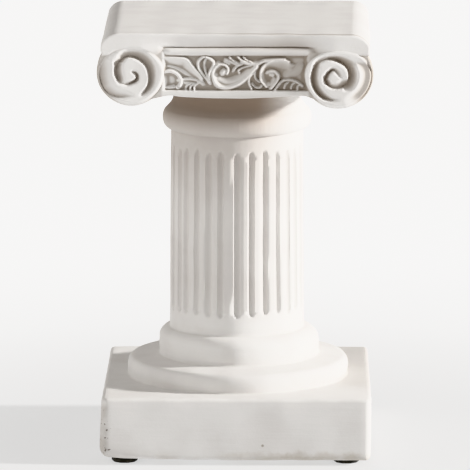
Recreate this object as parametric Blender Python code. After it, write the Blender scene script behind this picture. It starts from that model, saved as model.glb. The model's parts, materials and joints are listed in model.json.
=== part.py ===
"""A small cast plaster column in the Ionic order, standing on four soft foot pads.

All sizes are in metres and +Z is up. The origin is on the ground under the middle of the
column, and the carved front faces -Y. The square plinth, the two round base mouldings, the
fluted shaft, the neck ring and the scrolled capital are one casting. The foot pads are four
separate discs under the plinth's corners.
"""
import math

import bmesh
import bpy

# The whole column, from the ground to its flat top
COLUMN_HEIGHT = 0.2000

# Foot pads
PAD_DIAMETER = 0.012
PAD_THICKNESS = 0.0020
PAD_INSET = 0.0115
PAD_GAP = 0.0003

# Plinth: a square slab, a little narrower at its top
PLINTH_WIDTH = 0.1250
PLINTH_HEIGHT = 0.0289
PLINTH_DRAFT = 0.0006
PLINTH_EDGE_RADIUS = 0.0026

# Round base mouldings: a wide low one, and a drum with a rounded shoulder on it
LOWER_TORUS_DIAMETER = 0.1028
LOWER_TORUS_HEIGHT = 0.0099
LOWER_TORUS_BULGE = 0.0022
DRUM_DIAMETER = 0.0742
DRUM_SIDE_HEIGHT = 0.0076
DRUM_SHOULDER_HEIGHT = 0.0055

# Fluted shaft
SHAFT_BASE_DIAMETER = 0.0628
SHAFT_TOP_DIAMETER = 0.0614
FLUTE_COUNT = 30
FLUTE_WIDTH = 0.0041
FLUTE_DEPTH = 0.0014
FLUTE_FIRST_ANGLE = math.radians(-89.2)
PLAIN_BAND_BELOW = 0.0088
PLAIN_BAND_ABOVE = 0.0070

# Neck ring and the plain neck over it
NECK_RING_HEIGHT = 0.0126
NECK_RING_BULGE = 0.0046
NECK_DIAMETER = 0.0586
NECK_HEIGHT = 0.0094

# Capital: a slab with rounded ends over a carved block, with a scroll roll at each end
CAPITAL_DEPTH = 0.1250
SLAB_WIDTH = 0.1230
SLAB_THICKNESS = 0.0068
SLAB_SETBACK = 0.0009
SLAB_SHOULDER_RADIUS = 0.0090
SLAB_END_DROP = 0.0024
SLAB_EDGE_CHAMFER = 0.0009
BLOCK_HEIGHT = 0.0239
UPPER_BEAD_HEIGHT = 0.0035
LOWER_BEAD_HEIGHT = 0.0042
BEAD_PROUD = 0.0019
BEAD_GROOVE = 0.0004
FIELD_SETBACK = 0.0031

# Scroll rolls, which run from the front to the back
VOLUTE_SPACING = 0.0942
VOLUTE_RADIUS = 0.0157
VOLUTE_DROP = 0.0025
VOLUTE_FACE_CHAMFER = 0.0014
VOLUTE_FACE_LENGTH = 0.0080
VOLUTE_WAIST = 0.0014
EYE_DROP = 0.0024
GROOVE_WIDTH = 0.0022
GROOVE_DEPTH = 0.0020
GROOVE_END_SHARE = 0.5

# Carved scrollwork in the panel
RELIEF_RISE = 0.0021
RELIEF_SUNK = 0.0004

# How finely round things are divided
RING_POINTS_PER_FLUTE = 2
ROLL_SIDES = 36
PAD_SIDES = 10

# Colours, as seen in even light
PLASTER_COLOUR = (0.80, 0.78, 0.745, 1.0)
PAD_COLOUR = (0.028, 0.026, 0.022, 1.0)

# Heights of the base, from the ground up
PLINTH_BOTTOM = PAD_THICKNESS + PAD_GAP
PLINTH_TOP = PLINTH_BOTTOM + PLINTH_HEIGHT
DRUM_BOTTOM = PLINTH_TOP + LOWER_TORUS_HEIGHT
DRUM_SHOULDER = DRUM_BOTTOM + DRUM_SIDE_HEIGHT
SHAFT_BOTTOM = DRUM_SHOULDER + DRUM_SHOULDER_HEIGHT

# Heights of the capital and the neck, from the flat top down. The shaft fills what is left.
CAPITAL_TOP = COLUMN_HEIGHT
SLAB_BOTTOM = CAPITAL_TOP - SLAB_THICKNESS
BLOCK_BOTTOM = SLAB_BOTTOM - BLOCK_HEIGHT
NECK_BOTTOM = BLOCK_BOTTOM - NECK_HEIGHT
SHAFT_TOP = NECK_BOTTOM - NECK_RING_HEIGHT
SHAFT_HEIGHT = SHAFT_TOP - SHAFT_BOTTOM

# The scrolls hang from the slab: the roll's axis and the eye of its spiral
ROLL_AXIS_X = VOLUTE_SPACING / 2
ROLL_AXIS_Z = BLOCK_BOTTOM - VOLUTE_DROP + VOLUTE_RADIUS
EYE_Z = ROLL_AXIS_Z - EYE_DROP

# The carved panel between the two beads
FIELD_Y = CAPITAL_DEPTH / 2 - FIELD_SETBACK
FIELD_LOW = BLOCK_BOTTOM + LOWER_BEAD_HEIGHT
FIELD_HIGH = SLAB_BOTTOM - UPPER_BEAD_HEIGHT
FIELD_MIDDLE = (FIELD_LOW + FIELD_HIGH) / 2
# The scrollwork below is drawn on a panel 16 units high, so one unit is this long
CARVING_UNIT = (FIELD_HIGH - FIELD_LOW) / 16

# How deep one shape is sunk into the next where they are joined
OVERLAP = 0.0020

# The line of each spiral groove from its outer end: the angle in degrees, counter-clockwise from
# +X on the left scroll, and the distance from the eye as a share of the roll's radius
LEFT_GROOVE = ((-57, 0.59), (-25, 0.54), (5, 0.53), (40, 0.56), (75, 0.58), (105, 0.60),
               (140, 0.56), (165, 0.47), (200, 0.38), (240, 0.27), (275, 0.195), (330, 0.185),
               (385, 0.18), (433, 0.17))
RIGHT_GROOVE = ((-92, 0.63), (-58, 0.69), (-20, 0.70), (20, 0.70), (52, 0.65), (80, 0.55),
                (110, 0.445), (150, 0.42), (190, 0.39), (230, 0.33), (275, 0.275), (320, 0.31),
                (355, 0.33), (385, 0.28), (436, 0.25))

# Scrollwork ribbons, drawn in carving units from the panel's middle: across, up, half-width
STEMS = {
    "left_arch": ((-33.5, 6.0, 1.2), (-27.5, 6.4, 1.4), (-23.2, 5.8, 1.5), (-19.9, 2.9, 1.3),
                  (-16.6, -1.0, 1.1), (-12.5, -4.9, 1.0), (-8.0, -6.6, 0.6)),
    "left_curl": ((-31.0, -6.2, 0.6), (-27.2, -5.6, 0.9), (-25.4, -2.9, 1.0), (-27.2, 0.2, 1.1),
                  (-30.6, 0.6, 1.0), (-33.0, -1.6, 0.7)),
    "left_branch": ((-25.6, -3.1, 0.8), (-21.5, -2.2, 1.0), (-18.0, -2.8, 1.0), (-14.2, -5.0, 0.8)),
    "great_scroll": ((-3.2, -0.4, 0.5), (-2.6, 1.6, 0.8), (-4.2, 3.7, 0.9), (-7.2, 3.8, 1.1),
                     (-9.7, 1.6, 1.5), (-9.9, -1.8, 1.8), (-7.9, -4.9, 2.1), (-4.0, -6.3, 2.2),
                     (0.3, -5.2, 2.1), (4.1, -2.0, 1.7), (7.0, 1.4, 1.3), (9.6, 4.0, 0.8)),
    "top_stem": ((-1.5, 4.6, 0.6), (3.4, 5.4, 1.0), (8.0, 5.0, 1.2), (13.0, 5.7, 1.2),
                 (18.4, 5.7, 1.4), (23.0, 3.3, 1.4), (26.4, -0.6, 1.1), (29.6, -3.8, 0.6)),
    "second_scroll": ((13.8, 4.6, 0.7), (11.5, 2.2, 1.0), (10.9, -0.8, 1.1), (11.8, -3.6, 1.1),
                      (14.2, -6.0, 1.1), (17.4, -7.0, 1.0), (20.0, -4.2, 1.3), (20.7, -1.2, 1.2),
                      (18.9, 1.2, 1.1), (16.2, 1.5, 0.9), (14.5, -0.1, 0.6)),
    "right_stem": ((19.6, -6.2, 0.6), (23.4, -4.3, 0.9), (27.4, -4.1, 0.9), (31.2, -6.0, 0.6)),
}
# Leaves: foot across and up, tip across and up, and the widest half-width
LEAVES = (
    (-13.0, -4.2, -17.2, 5.2, 1.2), (-12.8, -4.0, -14.4, 7.4, 1.3), (-12.5, -3.8, -11.2, 6.0, 1.2),
    (-19.0, -3.4, -24.4, -7.4, 0.9), (-18.2, -3.6, -21.4, -8.2, 0.9),
    (-17.0, -3.8, -18.6, -8.0, 0.9),
    (3.0, 4.8, -5.4, 6.4, 1.0), (5.0, 5.0, -1.4, 7.6, 0.9), (7.4, 5.2, 2.6, 7.7, 0.8),
    (6.8, 2.6, 0.4, 1.2, 0.9), (8.2, 0.8, 6.6, -7.0, 1.0), (8.6, 0.4, 10.8, -5.2, 1.0),
    (24.6, -4.2, 22.0, -7.4, 0.8), (27.4, -4.0, 25.6, -7.6, 0.8), (30.2, -4.8, 29.2, -7.6, 0.8),
)
# Round buttons at the scrolls' ends: across, up, radius
BUTTONS = ((-29.4, -3.0, 2.6), (-5.3, 0.6, 1.7), (16.9, -1.2, 1.5))


def plaster():
    """Matt white gesso over cast plaster."""
    material = bpy.data.materials.new("plaster")
    material.use_nodes = True
    shader = material.node_tree.nodes["Principled BSDF"]
    shader.inputs["Base Color"].default_value = PLASTER_COLOUR
    shader.inputs["Roughness"].default_value = 0.85
    shader.inputs["Metallic"].default_value = 0.0
    return material


def pad_rubber():
    """Dark soft rubber."""
    material = bpy.data.materials.new("pad_rubber")
    material.use_nodes = True
    shader = material.node_tree.nodes["Principled BSDF"]
    shader.inputs["Base Color"].default_value = PAD_COLOUR
    shader.inputs["Roughness"].default_value = 0.7
    shader.inputs["Metallic"].default_value = 0.0
    return material


def solid(name, vertices, faces):
    """Makes one closed object of the given faces, all turned to point outwards."""
    mesh = bpy.data.meshes.new(name)
    mesh.from_pydata(vertices, [], faces)
    bm = bmesh.new()
    bm.from_mesh(mesh)
    bmesh.ops.recalc_face_normals(bm, faces=bm.faces)
    bm.to_mesh(mesh)
    bm.free()
    shape = bpy.data.objects.new(name, mesh)
    bpy.context.scene.collection.objects.link(shape)
    return shape


def lofted(name, rings):
    """Closes a stack of rings with equal numbers of points into one solid, with flat end faces."""
    count = len(rings[0])
    vertices = [point for ring in rings for point in ring]
    faces = [list(range(count)), list(range(len(vertices) - count, len(vertices)))]
    for level in range(len(rings) - 1):
        low = level * count
        for k in range(count):
            following = (k + 1) % count
            faces.append((low + k, low + following, low + count + following, low + count + k))
    return solid(name, vertices, faces)


def combined(operation, base, operands):
    """Joins the operands to the base, or cuts them from it, with one exact Boolean."""
    group = bpy.data.collections.new(base.name + "_operands")
    for operand in operands:
        group.objects.link(operand)
    boolean = base.modifiers.new("combine", "BOOLEAN")
    boolean.solver = "EXACT"
    boolean.operation = operation
    boolean.operand_type = "COLLECTION"
    boolean.collection = group
    depsgraph = bpy.context.evaluated_depsgraph_get()
    mesh = bpy.data.meshes.new_from_object(base.evaluated_get(depsgraph))
    base.modifiers.clear()
    base.data = mesh
    for operand in operands:
        bpy.data.objects.remove(operand)
    bpy.data.collections.remove(group)
    return base


def smoothed(points, steps):
    """Runs a smooth curve through the points, with each span cut into the given steps."""
    last = len(points) - 1
    curve = []
    for k in range(last):
        before, start = points[max(k - 1, 0)], points[k]
        end, after = points[k + 1], points[min(k + 2, last)]
        for step in range(steps):
            t = step / steps
            curve.append(tuple(
                0.5 * (2 * b + (c - a) * t + (2 * a - 5 * b + 4 * c - d) * t * t
                       + (3 * b - a - 3 * c + d) * t ** 3)
                for a, b, c, d in zip(before, start, end, after)))
    curve.append(tuple(points[last]))
    return curve


def ridge(name, stations, foot_y, crest_y):
    """A roof-shaped bar on an upright face: its foot lies at foot_y and its crest at crest_y.

    Each station is a point across and up, and the bar's half-width there. The last and first
    stations are pinched, so the bar grows out of the face at both ends.
    """
    rings = []
    last = len(stations) - 1
    for k, (across, up, half) in enumerate(stations):
        before, after = stations[max(k - 1, 0)], stations[min(k + 1, last)]
        run = (after[0] - before[0], after[1] - before[1])
        length = math.hypot(*run)
        side = (-run[1] / length * half, run[0] / length * half)
        height = 0.45 if k in (0, last) else 1.0
        crest = foot_y + (crest_y - foot_y) * height
        rings.append([(across + side[0], foot_y, up + side[1]), (across, crest, up),
                      (across - side[0], foot_y, up - side[1])])
    return lofted(name, rings)


def turned_back(shape):
    """Turns a front shape half round the column's axis, so it serves the back."""
    for vertex in shape.data.vertices:
        vertex.co.x = -vertex.co.x
        vertex.co.y = -vertex.co.y
    return shape


def plinth():
    """The square slab: a box with a slight draft and rounded edges."""
    bm = bmesh.new()
    bmesh.ops.create_cube(bm, size=1.0)
    for vertex in bm.verts:
        high = vertex.co.z > 0
        width = PLINTH_WIDTH - (2 * PLINTH_DRAFT if high else 0.0)
        vertex.co.x *= width
        vertex.co.y *= width
        vertex.co.z = PLINTH_TOP if high else PLINTH_BOTTOM
    bmesh.ops.bevel(bm, geom=bm.edges[:], offset=PLINTH_EDGE_RADIUS, segments=3, profile=0.5,
                    affect="EDGES")
    mesh = bpy.data.meshes.new("plinth")
    bm.to_mesh(mesh)
    bm.free()
    shape = bpy.data.objects.new("plinth", mesh)
    bpy.context.scene.collection.objects.link(shape)
    return shape


def torus_bulge(share, power):
    """How far a moulding stands out at a share of its height: a squared-off half circle."""
    return (1 - abs(2 * share - 1) ** power) ** (1 / power)


def base_profile():
    """Radius and height pairs from inside the plinth up to the foot of the shaft."""
    radius = LOWER_TORUS_DIAMETER / 2 - LOWER_TORUS_BULGE
    torus_height = LOWER_TORUS_HEIGHT * 0.95
    profile = [(radius, PLINTH_TOP - OVERLAP)]
    for share in (0.0, 0.05, 0.2, 0.5, 0.8, 0.95, 1.0):
        out = radius + LOWER_TORUS_BULGE * torus_bulge(share, 2.8)
        profile.append((out, PLINTH_TOP + torus_height * share))
    profile.append((DRUM_DIAMETER / 2, DRUM_BOTTOM))
    shaft_radius = SHAFT_BASE_DIAMETER / 2
    shoulder = DRUM_DIAMETER / 2 - shaft_radius
    for step in range(5):
        angle = math.radians(90 * step / 4)
        profile.append((shaft_radius + shoulder * math.cos(angle),
                        DRUM_SHOULDER + DRUM_SHOULDER_HEIGHT * math.sin(angle)))
    return profile


def neck_profile():
    """Radius and height pairs from the top of the shaft up into the capital."""
    low, high = SHAFT_TOP_DIAMETER / 2, NECK_DIAMETER / 2
    profile = []
    for share in (0.0, 0.06, 0.22, 0.45, 0.7, 0.9, 1.0):
        out = low + (high - low) * share + NECK_RING_BULGE * torus_bulge(share, 2.2)
        profile.append((out, SHAFT_TOP + NECK_RING_HEIGHT * share))
    profile.append((high, BLOCK_BOTTOM + OVERLAP))
    return profile


def plain_ring(radius, height):
    """A round ring with its points set over the flutes and over the lands between them."""
    count = RING_POINTS_PER_FLUTE * FLUTE_COUNT
    start = FLUTE_FIRST_ANGLE - math.pi / FLUTE_COUNT
    ring = []
    for k in range(count):
        angle = start + 2 * math.pi * k / count
        ring.append((angle, (radius * math.cos(angle), radius * math.sin(angle), height)))
    return ring


def fluted_ring(height, opening):
    """A ring with five points across each flute; opening runs from 0 at its tip to 1 in full."""
    rise = (height - SHAFT_BOTTOM) / SHAFT_HEIGHT
    radius = (SHAFT_BASE_DIAMETER + (SHAFT_TOP_DIAMETER - SHAFT_BASE_DIAMETER) * rise) / 2
    half_angle = FLUTE_WIDTH / 2 / radius * max(opening, 0.3)
    ring = []
    for flute in range(FLUTE_COUNT):
        centre = FLUTE_FIRST_ANGLE + 2 * math.pi * flute / FLUTE_COUNT
        for share, hollow in ((-1.0, 0.0), (-0.6, 0.75), (0.0, 1.0), (0.6, 0.75), (1.0, 0.0)):
            angle = centre + half_angle * share
            r = radius - FLUTE_DEPTH * opening * hollow
            ring.append((angle, (r * math.cos(angle), r * math.sin(angle), height)))
    return ring


def flute_rings():
    """The rings of the fluted length: each flute opens and closes in a round end."""
    low = SHAFT_BOTTOM + PLAIN_BAND_BELOW
    high = SHAFT_TOP - PLAIN_BAND_ABOVE
    end_length = FLUTE_WIDTH / 2
    rings = []
    for share in (0.0, 0.3, 1.0):
        opening = math.sqrt(1 - (1 - share) ** 2)
        rings.append(fluted_ring(low + end_length * share, opening))
    for share in (1.0, 0.3, 0.0):
        opening = math.sqrt(1 - (1 - share) ** 2)
        rings.append(fluted_ring(high - end_length * share, opening))
    return rings


def turned_core():
    """Base mouldings, fluted shaft, neck ring and neck as one stack of rings."""
    rings = [plain_ring(radius, height) for radius, height in base_profile()]
    rings += flute_rings()
    rings += [plain_ring(radius, height) for radius, height in neck_profile()]
    vertices = []
    numbered = []
    for ring in rings:
        first = len(vertices)
        vertices += [point for _, point in ring]
        numbered.append([(angle, first + k) for k, (angle, _) in enumerate(ring)])
    faces = [[index for _, index in numbered[0]], [index for _, index in numbered[-1]]]
    for lower, upper in zip(numbered, numbered[1:]):
        faces += stitched(lower, upper)
    return solid("turned_core", vertices, faces)


def stitched(lower, upper):
    """Fills the strip between two rings, which may have different numbers of points."""
    if len(lower) == len(upper):
        count = len(lower)
        return [(lower[k][1], lower[(k + 1) % count][1], upper[(k + 1) % count][1], upper[k][1])
                for k in range(count)]
    round_trip = 2 * math.pi
    low = lower + [(lower[0][0] + round_trip, lower[0][1])]
    high = upper + [(upper[0][0] + round_trip, upper[0][1])]
    faces = []
    i = 0
    j = 0
    while i < len(lower) or j < len(upper):
        step_low = j == len(upper) or (i < len(lower) and low[i + 1][0] <= high[j + 1][0])
        if step_low:
            faces.append((low[i][1], low[i + 1][1], high[j][1]))
            i += 1
        else:
            faces.append((low[i][1], high[j + 1][1], high[j][1]))
            j += 1
    return faces


def slab_outline(inset):
    """The slab's end-on outline, seen from the front: round shoulders over two dropped ends."""
    half = SLAB_WIDTH / 2 - inset
    top = CAPITAL_TOP - inset
    end_bottom = SLAB_BOTTOM - SLAB_END_DROP
    radius = SLAB_SHOULDER_RADIUS - inset
    drop = min(radius, top - end_bottom)
    shoulder = []
    for step in range(7):
        angle = math.radians(90 * step / 6)
        shoulder.append((half - radius + radius * math.cos(angle), top - drop + drop * math.sin(angle)))
    right = [(ROLL_AXIS_X, SLAB_BOTTOM), (ROLL_AXIS_X, end_bottom), (half, end_bottom)] + shoulder
    left = [(-x, z) for x, z in reversed(right)]
    return right + left


def slab():
    """The flat slab on top, with a small chamfer round its front and back."""
    front = CAPITAL_DEPTH / 2 - SLAB_SETBACK
    rings = []
    for y, inset in ((-front, SLAB_EDGE_CHAMFER), (-front + SLAB_EDGE_CHAMFER, 0.0),
                     (front - SLAB_EDGE_CHAMFER, 0.0), (front, SLAB_EDGE_CHAMFER)):
        rings.append([(x, y, z) for x, z in slab_outline(inset)])
    return lofted("slab", rings)


def bead(low, high):
    """A half-round bead on the panel's plane, as distance out and height."""
    middle, half = (low + high) / 2, (high - low) / 2
    points = []
    for step in range(5):
        angle = math.radians(180 * step / 4)
        points.append((FIELD_Y + BEAD_PROUD * math.sin(angle), middle - half * math.cos(angle)))
    return points


def carved_block():
    """The block under the slab: a moulded section with two beads, run from scroll to scroll."""
    front = bead(BLOCK_BOTTOM, FIELD_LOW) + bead(FIELD_HIGH, SLAB_BOTTOM - BEAD_GROOVE)
    front.append((FIELD_Y, SLAB_BOTTOM + OVERLAP))
    section = [(-y, z) for y, z in front] + [(y, z) for y, z in reversed(front)]
    rings = [[(x, y, z) for y, z in section] for x in (-ROLL_AXIS_X, ROLL_AXIS_X)]
    return lofted("carved_block", rings)


def scroll_roll(side):
    """One scroll roll, from the front face to the back: a waisted roll tucked under the slab."""
    face = CAPITAL_DEPTH / 2
    half_profile = ((face, VOLUTE_RADIUS - VOLUTE_FACE_CHAMFER),
                    (face - VOLUTE_FACE_CHAMFER, VOLUTE_RADIUS),
                    (face - VOLUTE_FACE_LENGTH, VOLUTE_RADIUS),
                    (face / 3, VOLUTE_RADIUS - VOLUTE_WAIST))
    profile = [(-y, r) for y, r in half_profile] + [(y, r) for y, r in reversed(half_profile)]
    ceiling = SLAB_BOTTOM - BEAD_GROOVE
    rings = []
    for y, radius in profile:
        ring = []
        for k in range(ROLL_SIDES):
            angle = 2 * math.pi * k / ROLL_SIDES
            ring.append((side * ROLL_AXIS_X + radius * math.cos(angle), y,
                         min(ROLL_AXIS_Z + radius * math.sin(angle), ceiling)))
        rings.append(ring)
    return lofted("scroll_roll", rings)


def spiral_groove(side, line):
    """The cutter of one spiral groove in a scroll's front face."""
    stations = []
    path = smoothed(line, 3)
    for k, (degrees, share) in enumerate(path):
        angle = math.radians(degrees)
        reach = share * VOLUTE_RADIUS
        pinch = GROOVE_END_SHARE if k in (0, len(path) - 1) else 1.0
        stations.append((side * (ROLL_AXIS_X - reach * math.cos(angle)),
                         EYE_Z + reach * math.sin(angle), GROOVE_WIDTH / 2 * pinch))
    face = -CAPITAL_DEPTH / 2
    return ridge("spiral_groove", stations, face - OVERLAP / 4, face + GROOVE_DEPTH)


def spiral_grooves():
    """The four spirals: the left and right scrolls of the front, and the same on the back."""
    grooves = []
    for side, line in ((-1, LEFT_GROOVE), (1, RIGHT_GROOVE)):
        grooves.append(spiral_groove(side, line))
        grooves.append(turned_back(spiral_groove(side, line)))
    return grooves


def panel_point(across, up):
    """Turns a place in the carving's own units into metres on the panel."""
    return across * CARVING_UNIT, FIELD_MIDDLE + up * CARVING_UNIT


def stem(line, steps):
    """One ribbon of the scrollwork."""
    stations = []
    for across, up, half in smoothed(line, steps):
        stations.append((*panel_point(across, up), half * CARVING_UNIT))
    return ridge("stem", stations, -FIELD_Y + RELIEF_SUNK, -FIELD_Y - RELIEF_RISE)


def leaf(foot_across, foot_up, tip_across, tip_up, half):
    """A pointed leaf between its foot and its tip, widest past the middle."""
    stations = []
    for share, width in ((0.0, 0.35), (0.35, 0.8), (0.7, 1.0), (1.0, 0.25)):
        across = foot_across + (tip_across - foot_across) * share
        up = foot_up + (tip_up - foot_up) * share
        stations.append((*panel_point(across, up), half * width * CARVING_UNIT))
    return ridge("leaf", stations, -FIELD_Y + RELIEF_SUNK, -FIELD_Y - RELIEF_RISE * 0.8)


def button(across, up, radius):
    """A low dome at the end of a scroll."""
    x, z = panel_point(across, up)
    rings = []
    for share, depth in ((1.0, -RELIEF_SUNK), (0.8, RELIEF_RISE * 0.6), (0.35, RELIEF_RISE)):
        ring = []
        for k in range(8):
            angle = 2 * math.pi * k / 8
            reach = radius * share * CARVING_UNIT
            ring.append((x + reach * math.cos(angle), -FIELD_Y - depth, z + reach * math.sin(angle)))
        rings.append(ring)
    return lofted("button", rings)


def scrollwork():
    """The panel's carving: full on the front, and stems and buttons alone on the back."""
    pieces = [stem(line, 2) for line in STEMS.values()]
    pieces += [leaf(*places) for places in LEAVES]
    pieces += [button(*places) for places in BUTTONS]
    pieces += [turned_back(stem(line, 1)) for line in STEMS.values()]
    pieces += [turned_back(button(*places)) for places in BUTTONS]
    return pieces


def column_casting():
    """The whole plaster casting, joined into one closed body."""
    casting = turned_core()
    shapes = [plinth(), slab(), carved_block(), scroll_roll(-1), scroll_roll(1)]
    casting = combined("UNION", casting, shapes)
    casting = combined("DIFFERENCE", casting, spiral_grooves())
    casting = combined("UNION", casting, scrollwork())
    casting.name = "column_casting"
    casting.data.name = "column_casting"
    casting.data.materials.clear()
    casting.data.materials.append(plaster())
    casting.data.shade_smooth()
    casting.data.set_sharp_from_angle(angle=math.radians(35))
    return casting


def foot_pads():
    """Four discs under the plinth's corners, each with a slightly rounded lower edge."""
    material = pad_rubber()
    place = PLINTH_WIDTH / 2 - PAD_INSET
    radius = PAD_DIAMETER / 2
    for end, y in (("front", -place), ("back", place)):
        for hand, x in (("left", -place), ("right", place)):
            rings = []
            for share, height in ((0.93, 0.0), (1.0, PAD_THICKNESS * 0.3), (1.0, PAD_THICKNESS)):
                ring = []
                for k in range(PAD_SIDES):
                    angle = 2 * math.pi * k / PAD_SIDES
                    ring.append((x + radius * share * math.cos(angle),
                                 y + radius * share * math.sin(angle), height))
                rings.append(ring)
            pad = lofted(f"foot_pad_{end}_{hand}", rings)
            pad.data.materials.append(material)


def main():
    for leftover in list(bpy.data.objects):
        bpy.data.objects.remove(leftover)
    column_casting()
    foot_pads()


main()
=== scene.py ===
# %% [markdown]
# # A small plaster column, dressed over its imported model
#
# The real column is one casting of gypsum plaster, poured into a rubber mould and painted with
# a matt white ground. It has a square plinth, two round mouldings, a fluted shaft, a neck ring
# and a scrolled capital with a carved panel, and it stands on four soft pads.
#
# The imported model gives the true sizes. The casting is made here once more as a finer surface,
# with its carving, its uneven hand-finished skin and its worn paint. The pads keep their
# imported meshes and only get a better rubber.
#
# Sizes are written in millimetres and turned into metres when a mesh is made.

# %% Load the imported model
import json
import math

import bpy
import numpy as np
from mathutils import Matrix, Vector

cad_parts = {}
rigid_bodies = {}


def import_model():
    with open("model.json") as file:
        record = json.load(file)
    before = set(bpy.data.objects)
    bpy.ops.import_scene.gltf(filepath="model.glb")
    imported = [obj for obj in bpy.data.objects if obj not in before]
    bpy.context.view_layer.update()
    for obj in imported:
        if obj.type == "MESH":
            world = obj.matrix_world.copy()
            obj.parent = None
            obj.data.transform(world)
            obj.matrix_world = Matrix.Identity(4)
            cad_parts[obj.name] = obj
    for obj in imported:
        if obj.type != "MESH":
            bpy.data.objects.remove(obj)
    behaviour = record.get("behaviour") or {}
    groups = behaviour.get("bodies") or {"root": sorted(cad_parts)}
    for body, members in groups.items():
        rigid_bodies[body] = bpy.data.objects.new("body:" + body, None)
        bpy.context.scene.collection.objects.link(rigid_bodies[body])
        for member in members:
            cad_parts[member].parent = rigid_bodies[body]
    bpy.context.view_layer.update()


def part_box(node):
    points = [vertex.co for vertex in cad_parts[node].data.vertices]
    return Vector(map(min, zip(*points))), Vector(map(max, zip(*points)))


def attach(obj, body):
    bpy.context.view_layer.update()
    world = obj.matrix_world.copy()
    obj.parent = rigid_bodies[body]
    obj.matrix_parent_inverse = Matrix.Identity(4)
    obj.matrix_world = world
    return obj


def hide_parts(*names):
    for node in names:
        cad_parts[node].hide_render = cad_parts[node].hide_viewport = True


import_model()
MM = 0.001

# %% [markdown]
# ## How a surface becomes a mesh
#
# Every surface below is a grid of points: rows of columns, worked out as whole arrays. A grid
# can be closed into a ring, and its first and last rows can be closed by a single pole point.
# One helper joins such grids of points by their numbers, so that neighbouring parts share
# their edge points and the skin has no seam.

# %% Grid faces


def quads_between(rows, closed):
    """Quads between each row of point numbers and the next, and round again where closed."""
    rows = np.asarray(rows)
    following = np.roll(rows, -1, axis=1) if closed else rows[:, 1:]
    here = rows if closed else rows[:, :-1]
    corners = np.stack([here[:-1], following[:-1], following[1:], here[1:]], axis=-1)
    return corners.reshape(-1, 4)


def fan(ring, pole):
    """Triangles from each pair of neighbours in a ring to one pole point."""
    ring = np.asarray(ring)
    return np.stack([ring, np.roll(ring, -1), np.full(len(ring), pole)], axis=-1)


def surface_object(name, points, quads, triangles):
    """A mesh object from points in millimetres and the faces' point numbers, shaded smooth."""
    mesh = bpy.data.meshes.new(name)
    sides = np.concatenate([np.full(len(quads), 4), np.full(len(triangles), 3)])
    corners = np.concatenate([np.ravel(quads), np.ravel(triangles)]).astype(np.int32)
    mesh.vertices.add(len(points))
    mesh.vertices.foreach_set("co", (points * MM).astype(np.float32).ravel())
    mesh.loops.add(len(corners))
    mesh.loops.foreach_set("vertex_index", corners)
    mesh.polygons.add(len(sides))
    mesh.polygons.foreach_set("loop_start", (np.cumsum(sides) - sides).astype(np.int32))
    mesh.update(calc_edges=True)
    mesh.validate()
    mesh.shade_smooth()
    shape = bpy.data.objects.new(name, mesh)
    bpy.context.scene.collection.objects.link(shape)
    print(name, "has", len(mesh.vertices), "points and", int((sides - 2).sum()), "triangles")
    return shape


# %% [markdown]
# ## Small curves that many parts use
#
# A smooth step eases one level into the next. A smooth line runs through a few drawn points,
# as a bent spline would, and is the way the profiles, the spirals and the foliage are drawn.

# %% Steps and smooth lines


def smooth_step(low, high, x):
    """0 below low and 1 above high, and between them 3 t squared less 2 t cubed."""
    t = np.clip((x - low) / (high - low), 0, 1)
    return t * t * (3 - 2 * t)


def smooth_line(points, steps):
    """A curve through all the points, each span a cubic whose slopes follow its neighbours."""
    p = np.asarray(points, float)
    before = np.concatenate([p[:1], p[:-2]])
    start, end = p[:-1], p[1:]
    after = np.concatenate([p[2:], p[-1:]])
    t = (np.arange(steps) / steps)[None, :, None]
    a, b, c, d = (q[:, None, :] for q in (before, start, end, after))
    curve = 0.5 * (2 * b + (c - a) * t + (2 * a - 5 * b + 4 * c - d) * t ** 2
                   + (3 * b - a - 3 * c + d) * t ** 3)
    return np.concatenate([curve.reshape(-1, p.shape[1]), p[-1:]])


def arc(centre, reach, start, end, count):
    """Points on an ellipse about the centre, between two angles in degrees."""
    angle = np.radians(np.linspace(start, end, count))
    return np.column_stack([centre[0] + reach[0] * np.cos(angle),
                            centre[1] + reach[1] * np.sin(angle)])


# %% [markdown]
# ## The heights of the column
#
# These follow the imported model: a 28.9 mm plinth over the pads, a wide low moulding, a drum
# with a round shoulder, the shaft, the neck ring, and the capital under its flat top.

# %% Heights and widths
PLINTH_LOW, PLINTH_HIGH = 2.3, 31.2
PLINTH_HALF = 62.35
PLINTH_DRAFT = 0.6
DRUM_RADIUS, DRUM_SHOULDER = 37.1, 48.7
SHAFT_LOW, SHAFT_HIGH = 54.2, 147.3
SHAFT_FOOT_RADIUS, SHAFT_HEAD_RADIUS = 31.4, 30.7
BLOCK_LOW = 169.3
TOP = 200.0
casting_low, casting_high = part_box("column_casting")
print("casting is", [round((b - a) / MM, 1) for a, b in zip(casting_low, casting_high)])

# %% [markdown]
# ## The flutes
#
# The flutes were cut by eye in the master, so they aren't evenly spaced, nor equally wide, and
# their ends don't line up. Each is a hollow with a sharp edge on both sides. It starts narrow
# at the top, as a gouge goes in, and ends in a rounder tip at the bottom. The eleven flutes at
# the front have their own shifts, and the others are shifted a little at random.

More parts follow.
